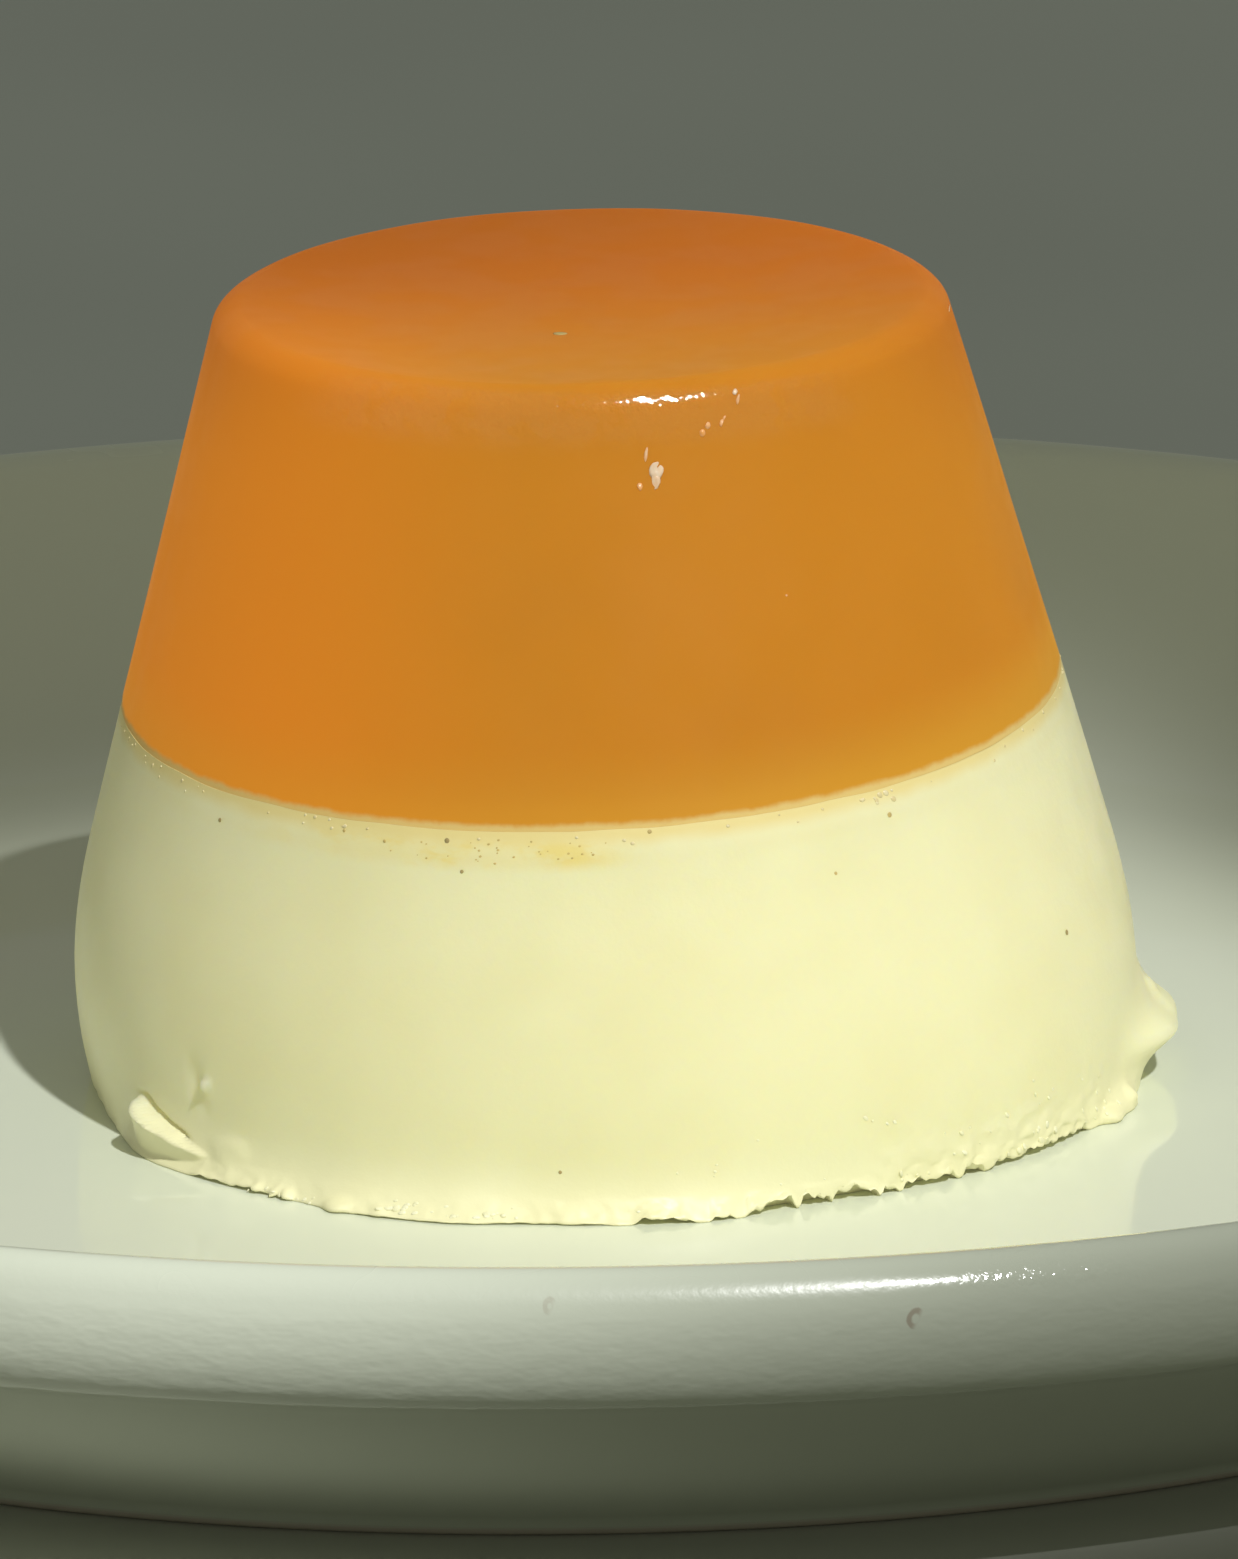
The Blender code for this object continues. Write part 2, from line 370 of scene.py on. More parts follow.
# The pudding's form, shared by cream and jelly
puddingForm = {
    "x": 3.5,
    "floorTop": 5.0,
    "seamHeight": 25.9,
    "height": 51.4,
    "coneRadius": 30.25,
    "coneHeight": 26.0,
    "draft": 0.272,
    "bellyHeight": 17.0,
    "bellyDepth": 3.9,
    "bellyPower": 2.4,
    "leanLeft": 0.027,
    "leanBack": 0.020,
    "seamSlope": (0.036, 0.055),
    "topSlope": (0.020, 0.020),
    # the foot spreads: middle, half width, fade and size of each stretch
    "skirtHeight": 2.2,
    "skirt": ((-113, 30, 18, 1.9), (-84, 72, 14, 0.7), (-111, 4, 10, 0.9), (-15, 6, 9, 0.3)),
    "seamWobble": 0.09,
    "columns": 700,
    "crowding": 0.38,
}


def sideRadius(level):
    f = puddingForm
    belly = f["bellyDepth"] * np.clip(1 - level / f["bellyHeight"], 0, None) ** f["bellyPower"]
    return f["coneRadius"] - f["draft"] * (level - f["coneHeight"]) - belly


# sum of stretches (middle, half width, fade, size) round the pudding, each with smooth ends
def swell(angle, stretches):
    total = np.zeros_like(angle)
    for middle, halfWidth, fade, size in stretches:
        past = (np.abs((angle - middle + 180) % 360 - 180) - halfWidth) / fade
        total += size * (0.5 + 0.5 * np.cos(np.pi * np.clip(past, 0, 1)))
    return total


def levelsOf(points):
    radius = np.hypot(points[:, 0], points[:, 1])
    angle = np.degrees(np.arctan2(points[:, 1], points[:, 0]))
    return radius, angle, points[:, 2]


# moves points of the upright turned pudding to where the set pudding stands
def settle(points, outward, lift):
    f = puddingForm
    radius, angle, level = levelsOf(points)
    share = np.clip(level / f["seamHeight"], 0, 1)
    above = np.clip((level - f["seamHeight"]) / (f["height"] - f["seamHeight"]), 0, 1)
    slopes = [f["seamSlope"][i] * share * (1 - above) + f["topSlope"][i] * above for i in (0, 1)]
    rise = slopes[0] * points[:, 0] + slopes[1] * points[:, 1]
    edge = sideRadius(level)
    rim = np.clip(radius / edge, 0, 1)
    skirt = swell(angle, f["skirt"]) * np.exp(-level / f["skirtHeight"])
    reach = (sideRadius(level + rise) + skirt + outward) / edge
    turns = np.radians(angle)
    ring = np.stack([np.cos(turns) * 9, np.sin(turns) * 9, np.full_like(turns, 2.5)], axis=1)
    wobble = noiseAt(ring, 1)
    wobble *= f["seamWobble"] * rim * np.exp(-np.abs(level - f["seamHeight"]) / 2)
    height = level + rise + lift + wobble
    spread = 1 + (reach - 1) * rim
    x = f["x"] - f["leanLeft"] * height + points[:, 0] * spread
    y = f["leanBack"] * height + points[:, 1] * spread
    return np.stack([x, y, f["floorTop"] + height], axis=1)


# height of a shader's point over the seam's plane, in mm
def overSeam(x, y, z):
    f = puddingForm
    lean = (f["leanLeft"] * f["seamHeight"], f["leanBack"] * f["seamHeight"])
    slope = f["seamSlope"]
    base = f["floorTop"] + f["seamHeight"] - slope[0] * (f["x"] - lean[0]) - slope[1] * lean[1]
    return z - base - x * slope[0] - y * slope[1]


# Set cream
creamLook = {
    "colour": (0.83, 0.8, 0.49),
    "shadeColour": (0.78, 0.73, 0.39),
    "bleedColour": (0.82, 0.66, 0.2),
    "seamColour": (0.79, 0.65, 0.27),
    "roughness": 0.42,
    "scatterWeight": 0.8,
    "scatter": (1.0, 0.85, 0.45),
    "scatterSize": 5.0,
    "glow": 0.065,  # painted glow, standing in for light that has come through the cream
    "baseGap": 0.012,
    "gapDepth": 1.4,
    "softWaves": 0.06,
    "pores": 0.03,
    # gaps torn under the edge: middle, half width, fade, height
    "tornGaps": (
        (-131.0, 5.5, 2.0, 0.3),
        (-104, 12.0, 3.0, 0.12),
        (-84.5, 2.2, 1.2, 0.5),
        (-78.5, 0.8, 0.6, 0.45),
        (-73, 2.4, 0.6, 0.8),
        (-67.8, 1.5, 0.5, 0.85),
        (-63.0, 2.2, 0.6, 0.8),
        (-58.8, 0.7, 0.5, 0.7),
        (-53.5, 3.2, 0.6, 0.8),
        (-47.5, 1.2, 0.6, 0.7),
        (-36, 8.0, 2.0, 0.6),
    ),
    # torn lumps: azimuth, level, half length, reach above and below, stand-out, rise of the left end
    "lumps": (
        (-137.6, 6.3, 0.34, 0.4, 0.55, 0.5, 0),
        (-139.3, 6.0, 0.75, 1.8, 1.8, -0.19, 22),
        (-134.0, 2.2, 1.4, 0.8, 1.2, 0.25, 10),
        (-128.6, 0.2, 0.28, 0.3, 0.4, 0.35, 0),
        (-126.3, 0.15, 0.22, 0.42, 0.4, 0.5, 0),
        (-124.6, 0.2, 0.35, 0.35, 0.4, 0.45, 20),
        (-118.3, 0.35, 0.95, 0.42, 0.4, 0.75, 4),
        (-113.5, 0.4, 0.5, 0.3, 0.4, 0.3, 0),
        (-22.2, 0.35, 1.0, 0.5, 0.6, 0.75, -4),
        (-17.5, 0.15, 2.4, 1.3, 0.6, 0.9, 0),
        (-17.0, 1.0, 0.45, 0.45, 0.5, 0.45, 30),
    ),
    # the lip low on the right: how far it stands out at each level
    "lipPlace": (1, 4, 16, 1.0),
    "lip": (
        (0, 0.3),
        (0.8, 0.6),
        (1.6, 1.15),
        (2.3, 1.9),
        (2.9, 2.8),
        (3.3, 3.0),
        (3.8, 2.3),
        (4.4, 1.4),
        (5.0, 0.8),
        (5.8, 0.35),
        (6.8, 0),
    ),
    "nub": (1, 5.2, 0.7, 0.4, 0.6, 0.4, 0),
    "flap": {
        "azimuth": -143.6,
        "radius": 34.5,
        "length": 4.3,  # half of its length along the foot
        "top": 3.6,
        "drop": 2.25,  # how much lower the crest's right end is
        "ridge": 0.92,  # share of the height where it stands out most
        "foot": 0.5,  # share of the stand-out that is left at the foot
        "standOut": 1.9,
        "crease": 0.35,
    },
    # crumbly skin low on the right, and small bumps along the foot
    "crumbly": (-42, 14, 10, 1.0),
    "crumblyHeights": (0.2, 0.2),  # fine and coarse
    "footBumps": ((-104, 14, 12, 0.8), (-60, 30, 10, 0.7), (100, 100, 40, 0.5)),
    "footHeights": (0.14, 0.16),
}


# how far soft torn lumps stand off the side
def lumpsOut(points, lumps):
    radius, angle, level = levelsOf(points)
    warp = 0.35 * noiseAt(points, 1.1, 8)
    total = np.zeros_like(level)
    for azimuth, height, halfLength, above, below, standOut, lift in lumps:
        along = np.radians((angle - azimuth + 180) % 360 - 180) * radius
        up = level - height
        turned = math.radians(lift)
        u = (along * math.cos(turned) + up * math.sin(turned)) / halfLength + warp
        v = (up * math.cos(turned) - along * math.sin(turned)) / np.where(up > 0, above, below)
        total += standOut * np.exp(-((u * u + v * v) ** 1.3))
    return total


def lipOut(points, look):
    _, angle, level = levelsOf(points)
    levels, reaches = zip(*look["lip"])
    shifted = level + 0.25 * noiseAt(points, 3, 14)
    out = sum(np.interp(shifted + step, levels, reaches) for step in (-0.4, -0.15, 0.15, 0.4)) / 4
    return out * swell(angle, (look["lipPlace"],)) + lumpsOut(points, (look["nub"],))


# the torn flap stands off the side: a lit ridge over an undercut face, with a crease behind
def flapReach(points, flap):
    _, angle, level = levelsOf(points)
    angle = angle + 1.3 * noiseAt(points, 2.4, 9)
    turn = np.radians((angle - flap["azimuth"] + 180) % 360 - 180)
    along = turn * flap["radius"] / flap["length"]
    crest = flap["top"] - flap["drop"] * np.clip((along + 0.9) / 1.9, 0, 1)
    share = level / np.clip(crest, 0.5, None) * (1 + 0.06 * noiseAt(points, 1.3, 13))
    ridge = flap["ridge"]
    foot = flap["foot"] + (1 - flap["foot"]) * np.clip(share / ridge, 0, 1) ** 1.3
    roll = np.sqrt(np.clip(1 - ((share - ridge) / (1.03 - ridge)) ** 2, 0, 1))
    section = np.where(share < ridge, foot, roll)
    section = flap["foot"] + (section - flap["foot"]) * (1 - 0.6 * ease(along, -0.6, 1))
    taper = np.sqrt(np.clip(1 - np.abs(along) ** 3, 0, 1)) * (share < 1.03)
    crease = ease(np.abs(along + 0.25), 0.9, 0.5) * ease(np.abs(share - 1.11), 0.1, 0.02)
    reach = np.where(section * taper > 0, flap["radius"] + flap["standOut"] * section * taper, 0)
    return reach + 0.06 * noiseAt(points, 1.2, 10), crease


def creamRelief(points, look):
    radius, angle, level = levelsOf(points)
    edge = sideRadius(level)
    skirt = swell(angle, puddingForm["skirt"]) * np.exp(-level / puddingForm["skirtHeight"])
    out = noiseAt(points, 16, 1) * look["softWaves"]
    out += noiseAt(points, 5, 2) * look["softWaves"] * 0.4
    crumbly = swell(angle, (look["crumbly"],)) * ease(level, 5.5, 1.0)
    foot = swell(angle, look["footBumps"]) * ease(level, 1.9, 0.5)
    fine = np.clip(noiseAt(points, 0.9, 5) + 0.15, 0, None)
    coarse = np.clip(noiseAt(points, 1.8, 6) + 0.1, 0, None)
    rough = ((crumbly, look["crumblyHeights"]), (foot, look["footHeights"]))
    for where, (fineHeight, coarseHeight) in rough:
        out += where * (fineHeight * fine + coarseHeight * coarse)
    out += lumpsOut(points, look["lumps"]) + lipOut(points, look)
    reach, crease = flapReach(points, look["flap"])
    out = np.maximum(out, reach - edge - skirt) - look["flap"]["crease"] * crease
    out = np.where((radius > edge - 0.02) | (level < 1), out, 0)
    # torn gaps lift the edge and the base just inside it
    ragged = 0.75 + 0.6 * noiseAt(points, 0.5, 11) + 0.45 * noiseAt(points, 1.4, 12)
    inwards = ease(edge - radius, look["gapDepth"], look["gapDepth"] * 0.7)
    lift = swell(angle, look["tornGaps"]) * np.clip(ragged, 0.15, 1.4) * inwards
    return out, lift * np.clip(1 - level / 1.6, 0, 1)


def creamProfile(look):
    base = look["baseGap"]
    top = puddingForm["seamHeight"] - 0.01
    foot = sideRadius(base)
    # the rows under the edge stand close together, for the torn gaps
    inset = (4.2, 2.4, 1.75, 1.6, 1.45, 1.3, 1.15, 0.95, 0.75, 0.55, 0.35, 0.22, 0.1)
    profile = [(radius, base) for radius in (0, 6, 12, 18, 23, 27)]
    profile += [(foot - back, base) for back in inset]
    profile += [(foot - 0.03, base + 0.04)]
    fineTop = 4.4  # the rows stand closer together below this
    low = np.linspace(base + 0.1, fineTop, 36)
    high = np.linspace(fineTop, top, 62)[1:]
    profile += [(sideRadius(level), level) for level in (*low, *high)]
    profile += [(sideRadius(top) * part, top) for part in (0.98, 0.9, 0.7, 0.4, 0)]
    return profile


def scattering(look):
    return {
        "Subsurface Weight": look["scatterWeight"],
        "Subsurface Radius": look["scatter"],
        "Subsurface Scale": look["scatterSize"] * mm,
    }


def creamMaterial(look):
    material, board = newMaterial("setCream")
    x, y, z = board.place()
    seam = overSeam(x, y, z)
    blotch = board.grain(11, 2, 0.55)
    colour = board.mixColour(blotch.span(0.35, 0.7) * 0.35, look["colour"], look["shadeColour"])
    # jelly that ran under its edge: a milky line, then orange patches
    patches = board.grain(3.0, 4, 0.65, shift=(4, 0, 2), stretch=(0.5, 0.5, 1)).span(0.44, 0.6)
    front = x.span(-22, -8) * x.span(1, 6, 1, 0) * y.span(-8, -14) * 0.75 + 0.1
    bleed = (patches * 0.6 + 0.4) * front * seam.span(-2.6, -1.6) * seam.span(-0.9, -0.3, 1, 0.5)
    colour = board.mixColour(bleed, colour, look["bleedColour"])
    milky = (seam + board.grain(2.5, 2) * 0.6).span(-1.0, 0.1)
    colour = board.mixColour(milky * 0.9, colour, look["seamColour"])
    pores = board.grain(0.55, 2, 0.6) * 0.5 + board.grain(2.4, 2, 0.5)
    skin = board.bump(pores, look["pores"])
    rough = board.grain(3.5, 1).span(0.3, 0.7, look["roughness"] - 0.06, look["roughness"] + 0.08)
    surface = {"Base Color": colour, "Roughness": rough, "Normal": skin, "IOR": 1.42}
    # painted glow: the cream gives off a faint light in its own colour
    surface |= {"Emission Color": colour, "Emission Strength": look["glow"]}
    soft = board.principled(surface | scattering(look))
    # no scattering beside the hidden faces, where it would darken
    share = seam.span(-2.2, -0.6) + z.span(9.5, 6.5)
    board.close(board.mixShader(share, soft, board.principled(surface)))
    return material


def makeCream(look):
    f = puddingForm
    cream = turnPiece("creamBody", creamProfile(look), f["columns"], f["crowding"], creamMaterial(look))
    points = getPoints(cream)
    setPoints(cream, settle(points, *creamRelief(points, look)))
    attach(cream, "root")
    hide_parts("cream")
    print("cream set:", len(cream.data.polygons), "faces")


makeCream(creamLook)

# Orange jelly
jellyLook = {
    "colour": (0.268, 0.102, 0.008),
    # painted shade and light: the top's colour is darker towards its back, the left's colour is brighter
    # on the shaded side, the seam's colour is yellower just above the cream
    "topColour": (0.23, 0.058, 0.004),
    "leftColour": (0.332, 0.107, 0.0082),
    "seamColour": (0.285, 0.135, 0.0125),
    "rimColour": (0.76, 0.58, 0.22),
    "glow": 1.33,  # painted glow, standing in for light that has come through the jelly
    "roughness": 0.42,
    "scatterWeight": 0.7,
    "scatter": (1.0, 0.5, 0.1),
    "scatterSize": 8.0,
    "shoulder": 1.9,
    "dish": 0.9,
    "softWaves": 0.05,
    "pits": 0.12,  # height of the fine pits where the shoulder is moist
    "pitted": (-80, 12, 10, 1.0),  # the stretch of shoulder with pits in its form
    "pittedDepth": 0.03,
    "dull": {"IOR": 1.38, "Specular IOR Level": 0.15},
    "shine": {"Roughness": 0.055, "IOR": 1.6, "Specular IOR Level": 0.9},  # where it is moist
}


def jellyProfile(look):
    f = puddingForm
    base = f["seamHeight"]
    shoulder = f["height"] - look["shoulder"]
    slant = math.hypot(1, f["draft"])
    middle = (sideRadius(shoulder) - look["shoulder"] * slant, shoulder)
    profile = [(sideRadius(base) * part, base) for part in (0, 0.4, 0.7, 0.9, 0.98)]
    levels = np.linspace(base, shoulder, 66)
    profile += [(sideRadius(level), level) for level in levels[:-1]]
    turn = math.degrees(math.atan(f["draft"]))
    profile += arc(middle, (look["shoulder"],) * 2, turn, 90, 18)
    for part in np.linspace(1, 0, 26)[1:]:
        profile.append((middle[0] * part, f["height"] - look["dish"] * (1 - part**2)))
    return profile


def jellyRelief(points, look):
    radius, angle, level = levelsOf(points)
    out = noiseAt(points, 14, 21) * look["softWaves"]
    out += noiseAt(points, 4.5, 22) * look["softWaves"] * 0.25
    pitted = swell(angle, (look["pitted"],)) * ease(level, 46.5, 48.5)
    out += pitted * look["pittedDepth"] * noiseAt(points, 1.1, 23)
    lift = (noiseAt(points, 9, 25) - 0.9) * 0.05 * ease(level, 50.2, 51)
    return np.where(radius > sideRadius(level) * 0.6, out, 0), lift


def jellyMaterial(look):
    material, board = newMaterial("orangeJelly")
    x, y, z = board.place()
    seam = overSeam(x, y, z)
    cloud = board.grain(13, 2, 0.55)
    darker = scaled(look["colour"], 0.93)
    colour = board.mixColour(cloud.span(0.35, 0.7) * 0.5, look["colour"], darker)
    # painted light and shade: a brighter red on the shaded left and a yellower tone above the seam and
    # low on the lit right stand in for light through the jelly, and a darker red towards the back of the
    # top is painted shade
    colour = board.mixColour(x.span(0, -20), colour, look["leftColour"])
    topShade = z.span(46, 56) * y.span(-24, 14)
    colour = board.mixColour(topShade * 0.9, colour, look["topColour"])
    low = seam.span(5.5, 0.2) * x.span(-20, 26, 0.35, 1.0)
    colour = board.mixColour(low * 0.9, colour, look["seamColour"])
    # the edge at the seam is milky and doesn't glow
    milky = (seam + board.grain(1.6, 3, 0.6) * 0.5).span(0.85, 0.4) * 0.85
    glow = board.mixColour(milky, colour, (0, 0, 0))
    colour = board.mixColour(milky, colour, look["rimColour"])
    skin = board.bump(board.grain(1.1, 2, 0.6) * 0.4 + board.grain(4, 1), 0.01)
    rough = board.grain(4.5, 1).span(0.3, 0.7, look["roughness"] - 0.08, look["roughness"] + 0.08)
    # the front of the shoulder is moist in patches
    wet = z.span(51.5, 53.5) * z.span(55.75, 55.3) * y.span(-14, -20)
    moist = board.grain(2.3, 3, 0.6, shift=(1, 5, 2)).span(0.38, 0.52, 0.45, 1.0) * wet
    skin = board.bump(board.grain(0.6, 2, 0.55) * wet, look["pits"], before=skin)
    surface = {"Base Color": colour, "Roughness": rough, "Normal": skin} | look["dull"]
    # painted glow: the jelly gives off light in its own colour, except at the milky edge
    surface |= {"Emission Color": glow, "Emission Strength": look["glow"]}
    soft = board.principled(surface | scattering(look))
    shiny = board.principled(surface | scattering(look) | look["shine"])
    # no scattering beside the hidden face
    shader = board.mixShader(seam.span(2.6, 0.5), soft, board.principled(surface))
    board.close(board.mixShader(moist, shader, shiny))
    return material


def makeJelly(look):
    f = puddingForm
    jelly = turnPiece("jellyBody", jellyProfile(look), f["columns"], f["crowding"], jellyMaterial(look))
    points = getPoints(jelly)
    setPoints(jelly, settle(points, *jellyRelief(points, look)))
    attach(jelly, "root")
    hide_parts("jelly")
    print("jelly set:", len(jelly.data.polygons), "faces")


makeJelly(jellyLook)

# Small things on the skin: vanilla specks, dots of jelly, bubbles along the seam, crumbs, and pale
# flecks on the jelly, most of them painted highlights where its shoulder glints


# the place on the skin at an azimuth round the foot's middle and a height over the plate's floor
def onSkin(relief, look, azimuth, height):
    f = puddingForm
    turn, level = azimuth, height
    for _ in range(5):
        turns = np.radians([turn, turn + 0.5, turn])
        levels = np.array([level, level, level + 0.3])
        radii = sideRadius(levels)
        points = np.stack([radii * np.cos(turns), radii * np.sin(turns), levels], axis=1)
        places = settle(points, *relief(points, look))
        reached = math.degrees(math.atan2(places[0][1], places[0][0] - f["x"]))
        turn += (azimuth - reached + 180) % 360 - 180
        level += height + f["floorTop"] - places[0][2]
    facing = np.cross(places[1] - places[0], places[2] - places[0])
    return places[0], facing / np.linalg.norm(facing)


# flat grains on given points, each turned to face outwards, bent by noise
def grainTree():
    tree, board, given = newTree("grains", {"Places": "Object", "Rough": "Float", "Material": "Material"})
    places = board.add("GeometryNodeObjectInfo", {}, {"Object": given["Places"]})["Geometry"]
    named = {"data_type": "FLOAT_VECTOR"}
    size = board.add("GeometryNodeInputNamedAttribute", named, {"Name": "size"})
    facing = board.add("GeometryNodeInputNamedAttribute", named, {"Name": "facing"})
    settings = {"axis": "Z", "pivot_axis": "AUTO"}
    turn = board.add("FunctionNodeAlignRotationToVector", settings, {"Vector": facing})
    ball = board.add("GeometryNodeMeshIcoSphere", {}, {"Radius": 1.0, "Subdivisions": 2})
    sockets = {"Points": places, "Instance": ball, "Rotation": turn, "Scale": size}
    grains = board.add("GeometryNodeInstanceOnPoints", {}, sockets)
    grains = board.add("GeometryNodeRealizeInstances", {}, {"Geometry": grains})
    bend = board.add("ShaderNodeTexNoise", {}, {"Scale": 2200.0, "Detail": 1.0})["Color"]
    bend = board.add("ShaderNodeVectorMath", {"operation": "SUBTRACT"}, {0: bend, 1: (0.5, 0.5, 0.5)})
    bend = board.add("ShaderNodeVectorMath", {"operation": "SCALE"}, {0: bend, "Scale": given["Rough"]})
    grains = board.add("GeometryNodeSetPosition", {}, {"Geometry": grains, "Offset": bend})
    closeTree(board, grains, given["Material"])
    return tree


grains = grainTree()


def grainMaterial(name, look):
    material, board = newMaterial(name)
    tone = board.add("ShaderNodeAttribute", {"attribute_name": "tone"})["Fac"]
    mottle = board.grain(0.3, 2).span(0.3, 0.7, -0.12, 0.12)
    colour = board.mixColour(tone + mottle, look["colour"], look["otherColour"])
    skin = board.bump(board.grain(0.15, 2), 0.01)
    sockets = {"Base Color": colour, "Roughness": look["roughness"], "Normal": skin, "IOR": 1.4}
    board.close(board.principled(sockets))
    return material


# each grain found: its place, the direction it faces, its half width, half height and half thickness
# in mm, and its tone from 0 to 1
def growGrains(name, found, look, skin):
    places, facings, sizes, tones = (np.array(part) for part in zip(*found))
    mesh = bpy.data.meshes.new("places")
    mesh.from_pydata((places * mm).tolist(), [], [])
    for label, vectors in {"size": sizes * mm, "facing": facings}.items():
        layer = mesh.attributes.new(label, "FLOAT_VECTOR", "POINT")
        layer.data.foreach_set("vector", vectors.ravel())
    layer = mesh.attributes.new("tone", "FLOAT", "POINT")
    layer.data.foreach_set("value", tones)
    host = bpy.data.objects.new("places", mesh)
    bpy.context.scene.collection.objects.link(host)
    values = {"Places": host, "Rough": look["bend"] * mm, "Material": grainMaterial(skin, look)}
    piece = growPiece(name, grains, values)
    bpy.data.objects.remove(host)
    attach(piece, "root")
    print(name, len(found), "grains")


specks = {
    "colour": (0.26, 0.21, 0.1),
    "otherColour": (0.7, 0.52, 0.17),
    "roughness": 0.5,
    "bend": 0.05,  # how far noise pushes the skin about
    "thickness": 0.03,
    "seed": 4,
    # azimuth, height, half size and tone of the ones that stand out
    "placed": (
        (-141.4, 22.2, 0.15, 0.3),
        (-109.2, 23.3, 0.17, 0.2),
        (-107.1, 21.5, 0.13, 0.2),
        (-85.0, 24.1, 0.14, 0.5),
        (-53.8, 23.5, 0.17, 0.7),
        (-28.2, 13.3, 0.18, 0.35),
        (-95.2, 3.1, 0.12, 0.4),
        (-62.5, 20.6, 0.12, 0.8),
        (-117.0, 22.9, 0.11, 0.7),
        (-122.5, 23.2, 0.11, 0.7),
        (40.0, 15.0, 0.16, 0.2),
        (88.0, 20.5, 0.15, 0.3),
        (131.0, 9.0, 0.17, 0.1),
        (163.0, 17.5, 0.14, 0.3),
    ),
    "onTop": (0.7, -5.7),  # x and y of the one on the jelly
    "onTopSize": (0.48, 0.42, 0.05),
    # dots of jelly under the seam
    "dots": 34,
    "dotsAzimuth": (-118, -104, -86),  # from, most of them, to
    "dotsHeight": (21.9, 23.6),
    "dotsSize": (0.03, 0.075),
    "dotsThickness": 0.02,
}


# height of the jelly's top at a point
def topHeight(x, y):
    top = bpy.data.objects["jellyBody"]
    _, place, *_ = top.ray_cast(Vector((x, y, 80)) * mm, Vector((0, 0, -1)))
    return place[2] / mm


def makeSpecks(look):
    pick = np.random.default_rng(look["seed"])
    found = []
    for azimuth, level, size, tone in look["placed"]:
        place, facing = onSkin(creamRelief, creamLook, azimuth, level)
        found.append((place, facing, (size, size, look["thickness"]), tone))
    for _ in range(look["dots"]):
        azimuth = pick.triangular(*look["dotsAzimuth"])
        height = pick.uniform(*look["dotsHeight"])
        place, facing = onSkin(creamRelief, creamLook, azimuth, height)
        size = pick.uniform(*look["dotsSize"])
        sizes = (size * 1.3, size, look["dotsThickness"])
        found.append((place, facing, sizes, pick.uniform(0.7, 1)))
    x, y = look["onTop"]
    found.append(((x, y, topHeight(x, y)), (0, 0, 1), look["onTopSize"], 0.5))
    growGrains("vanillaSpecks", found, look, "speckSkin")


makeSpecks(specks)

bubbles = {
    "colour": (0.74, 0.62, 0.32),
    "otherColour": (0.82, 0.74, 0.46),
    "roughness": 0.25,
    "bend": 0.03,
    "thickness": 0.05,
    "seed": 11,
    "count": 80,
    "size": (0.05, 0.15),
    "drop": (0.05, 0.3, 1.1),  # below the seam: least, most of them, most
    # larger ones close together on the right
    "cluster": (-57.5, -52.5),
    "clusterCount": 9,
    "clusterSize": (0.12, 0.24),
}


# height of the seam over the plate's floor at an azimuth
def seamAt(azimuth):
    f = puddingForm
    turn = math.radians(azimuth)
    radius = sideRadius(f["seamHeight"])
    slope = f["seamSlope"][0] * math.cos(turn) + f["seamSlope"][1] * math.sin(turn)
    return f["seamHeight"] + radius * slope


def makeBubbles(look):
    pick = np.random.default_rng(look["seed"])
    found = []
    for number in range(look["count"] + look["clusterCount"]):
        inCluster = number >= look["count"]
        azimuth = pick.uniform(*look["cluster"]) if inCluster else pick.uniform(-180, 180)
        size = pick.uniform(*look["clusterSize"]) if inCluster else pick.uniform(*look["size"])
        height = seamAt(azimuth) - pick.triangular(*look["drop"])
        place, facing = onSkin(creamRelief, creamLook, azimuth, height)
        sizes = (size, size * 0.8, look["thickness"])
        found.append((place, facing, sizes, pick.uniform(0, 1)))
    growGrains("seamBubbles", found, look, "bubbleSkin")


makeBubbles(bubbles)

# painted highlights: pale flecks set on the jelly's shoulder stand in for glints of the lamp
glintFlecks = {
    "colour": (0.8, 0.62, 0.43),
    "otherColour": (0.84, 0.37, 0.1),
    "roughness": 0.25,
    "bend": 0.3,
    "thickness": 0.06,
    # azimuth, height, half width, half height, tone
    "placed": (
        (-82.2, 45.8, 0.5, 0.55, 0.05),
        (-82.4, 45.2, 0.3, 0.55, 0.2),
        (-83.7, 46.8, 0.12, 0.5, 0.5),
        (-84.8, 44.9, 0.2, 0.26, 0.8),
        (-74.6, 47.9, 0.2, 0.24, 0.9),
        (-73.6, 48.3, 0.18, 0.3, 0.7),
        (-71.2, 48.4, 0.15, 0.32, 0.75),
        (-70.7, 48.7, 0.08, 0.16, 0.7),
        (-68.4, 50.2, 0.14, 0.2, 0.15),
        (-67.9, 49.7, 0.1, 0.35, 0.6),
        (-1.0, 50.6, 0.12, 0.8, 0.5),
        (-64.0, 37.6, 0.08, 0.08, 0.5),
    ),
}


def makeGlintFlecks(look):
    found = []
    for azimuth, level, halfWidth, halfHeight, tone in look["placed"]:
        place, facing = onSkin(jellyRelief, jellyLook, azimuth, level)
        found.append((place, facing, (halfWidth, halfHeight, look["thickness"]), tone))
    growGrains("paleFlecks", found, look, "paintedGlintSkin")


makeGlintFlecks(glintFlecks)

crumbs = {
    "colour": (0.84, 0.81, 0.5),
    "otherColour": (0.9, 0.88, 0.62),
    "roughness": 0.4,
    "bend": 0.08,
    "seed": 7,
    # stretches of the foot: azimuth from and to, height from and to, count, half size from and to
    "stretches": (
        (-62, -20, 0.6, 5.5, 34, 0.07, 0.16),
        (-58, -30, 0.7, 2.0, 10, 0.14, 0.24),
        (-114, -98, 0.4, 1.0, 30, 0.08, 0.2),
        (-130, -121, 0.1, 0.5, 12, 0.06, 0.14),
        (-100, -62, 0.4, 6.0, 8, 0.05, 0.1),
        (20, 170, 0.2, 1.2, 40, 0.06, 0.15),
    ),
}


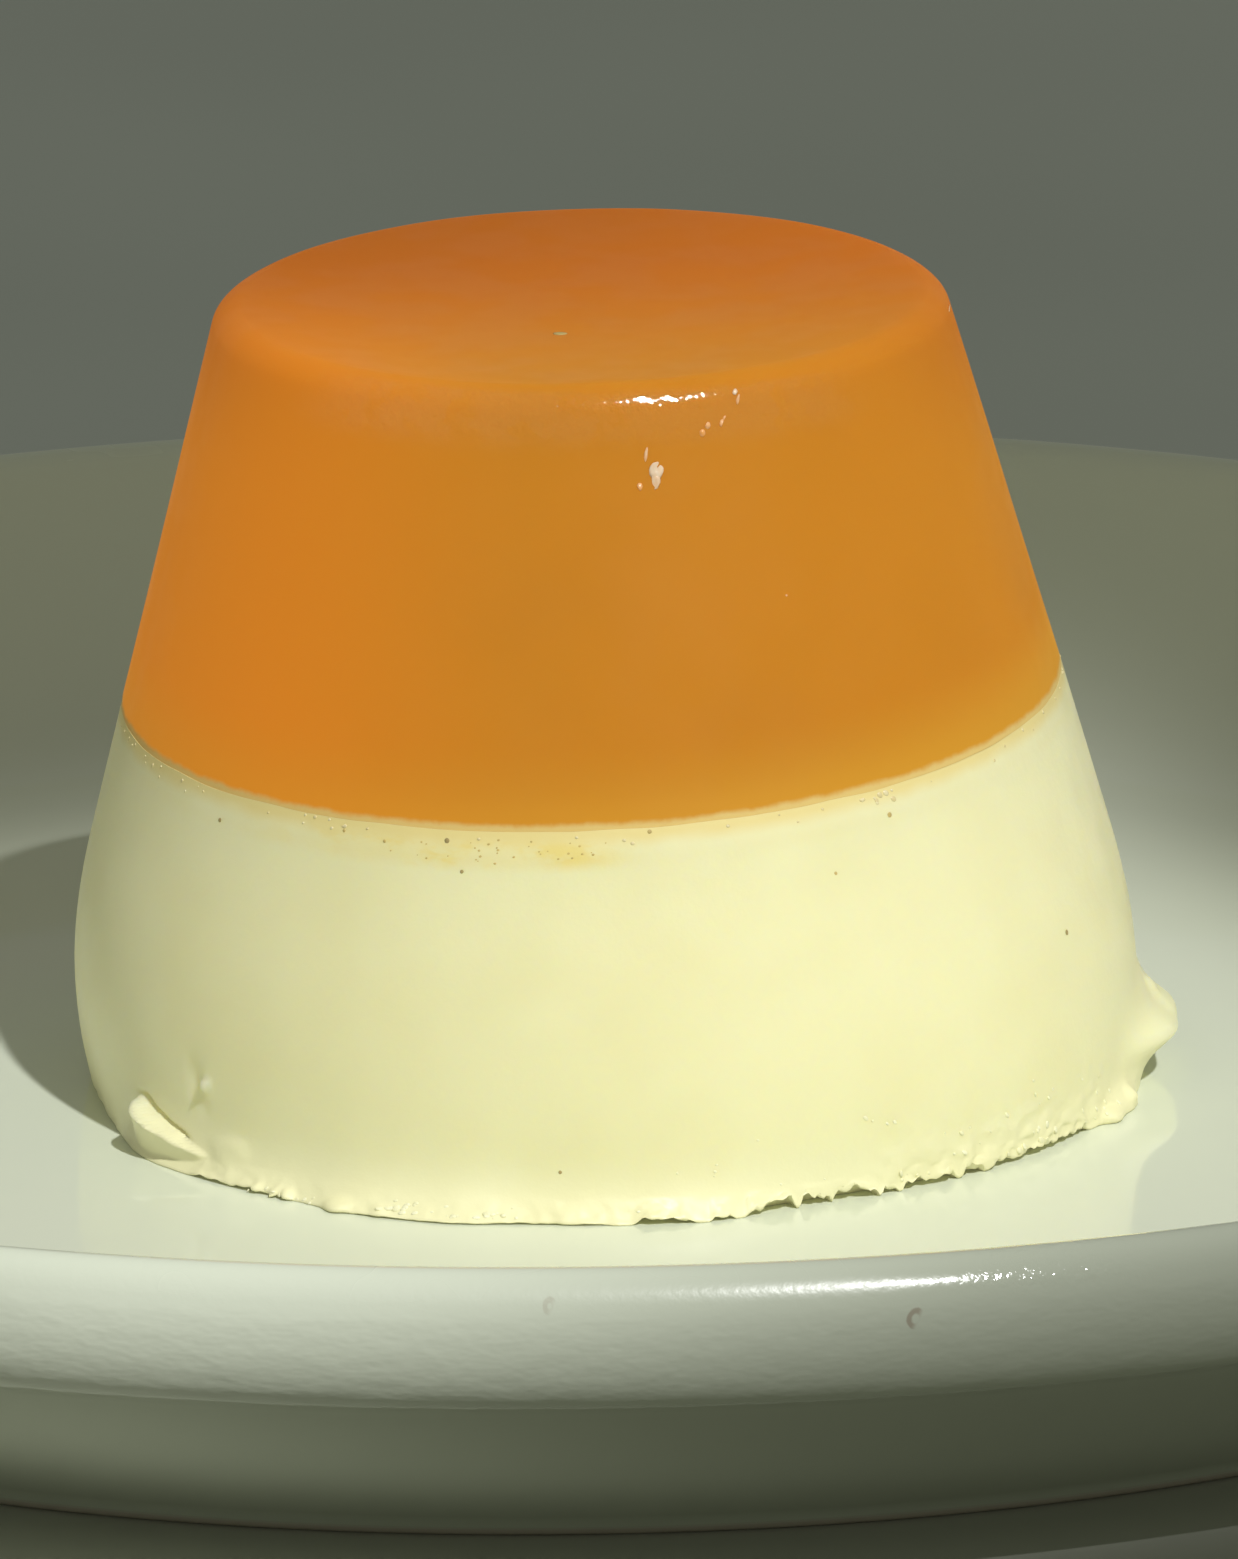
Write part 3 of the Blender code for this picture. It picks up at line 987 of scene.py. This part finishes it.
def makeCrumbs(look):
    pick = np.random.default_rng(look["seed"])
    found = []
    for start, end, low, high, count, small, large in look["stretches"]:
        for _ in range(count):
            height = low + (high - low) * pick.power(0.6)
            place, facing = onSkin(creamRelief, creamLook, pick.uniform(start, end), height)
            size = pick.uniform(small, large)
            sizes = (size * pick.uniform(1, 1.8), size, size * 0.4)
            found.append((place, facing, sizes, pick.uniform(0, 1)))
    growGrains("creamCrumbs", found, look, "crumbSkin")


makeCrumbs(crumbs)

# Floor, light and camera
studio = {
    "floorSize": 6.0,  # m
    "floorColour": (0.61, 0.65, 0.6),
    "nearColour": (0.5, 0.51, 0.44),
    "nearReach": (900, 300),  # mm from the middle where nearColour starts and is full
    "nearFront": (160, -40),  # mm along y, likewise
    # a narrow beam, as through a small window
    "keyAzimuth": 29.0,  # right of the camera
    "keyElevation": 50.0,
    "keyDistance": 0.75,  # m
    "keyPower": 0.0506,  # W
    "keySize": (0.154, 0.111),  # m
    "keySpread": 3.2,
    "keyAim": (-0.0107, -0.0116, -0.0042),  # m
    "sky": (0.198, 0.205, 0.177),
}


def makeStudio(s):
    half = s["floorSize"] / 2
    corners = [(-half, -half, 0), (half, -half, 0), (half, half, 0), (-half, half, 0)]
    mesh = bpy.data.meshes.new("floor")
    mesh.from_pydata(corners, [], [(0, 1, 2, 3)])
    floor = bpy.data.objects.new("floor", mesh)
    bpy.context.scene.collection.objects.link(floor)
    material, board = newMaterial("floorPaint")
    tone = board.grain(90, 1).span(0.3, 0.7)
    colour = board.mixColour(tone, s["floorColour"], scaled(s["floorColour"], 0.94))
    x, y, _ = board.place()
    away = (x * x + y * y).apply("SQRT")
    near = away.span(*s["nearReach"]) * y.span(*s["nearFront"])
    colour = board.mixColour(near, colour, s["nearColour"])
    board.close(board.principled({"Base Color": colour, "Roughness": 0.6}))
    mesh.materials.append(material)
    azimuth, elevation = math.radians(s["keyAzimuth"]), math.radians(s["keyElevation"])
    across, up = math.cos(elevation), math.sin(elevation)
    towards = Vector((math.sin(azimuth) * across, -math.cos(azimuth) * across, up))
    key = bpy.data.lights.new("key", "AREA")
    key.shape = "RECTANGLE"
    key.size, key.size_y = s["keySize"]
    key.spread = math.radians(s["keySpread"])
    key.energy = s["keyPower"]
    lamp = bpy.data.objects.new("key", key)
    lamp.location = Vector(s["keyAim"]) + towards * s["keyDistance"]
    lamp.rotation_euler = towards.to_track_quat("Z", "Y").to_euler()
    bpy.context.scene.collection.objects.link(lamp)
    world = bpy.data.worlds.new("sky")
    world.use_nodes = True
    sky = Board(world.node_tree)
    sky.close(sky.add("ShaderNodeBackground", {}, {"Color": s["sky"], "Strength": 1.0}), "World")
    bpy.context.scene.world = world


cameraPlace = {
    "location": (0.0038, -1.1204615, 0.3258226),  # m
    "pitch": 0.2628,  # looking down; in radians, as are yaw and roll
    "yaw": 0.0004,
    "roll": -0.007,
    "lens": 415.3,
}


def makeCamera(c):
    data = bpy.data.cameras.new("camera")
    data.lens = c["lens"]
    camera = bpy.data.objects.new("camera", data)
    bpy.context.scene.collection.objects.link(camera)
    yaw, pitch = c["yaw"], c["pitch"]
    level = math.cos(pitch)
    ahead = Vector((math.sin(yaw) * level, math.cos(yaw) * level, -math.sin(pitch)))
    right = Matrix.Rotation(-c["roll"], 3, ahead) @ Vector((math.cos(yaw), -math.sin(yaw), 0))
    turn = Matrix((right, right.cross(ahead), -ahead)).transposed()
    camera.matrix_world = Matrix.Translation(c["location"]) @ turn.to_4x4()
    bpy.context.scene.camera = camera


makeStudio(studio)
makeCamera(cameraPlace)
bpy.context.scene.view_settings.view_transform = "Standard"
bpy.context.view_layer.update()
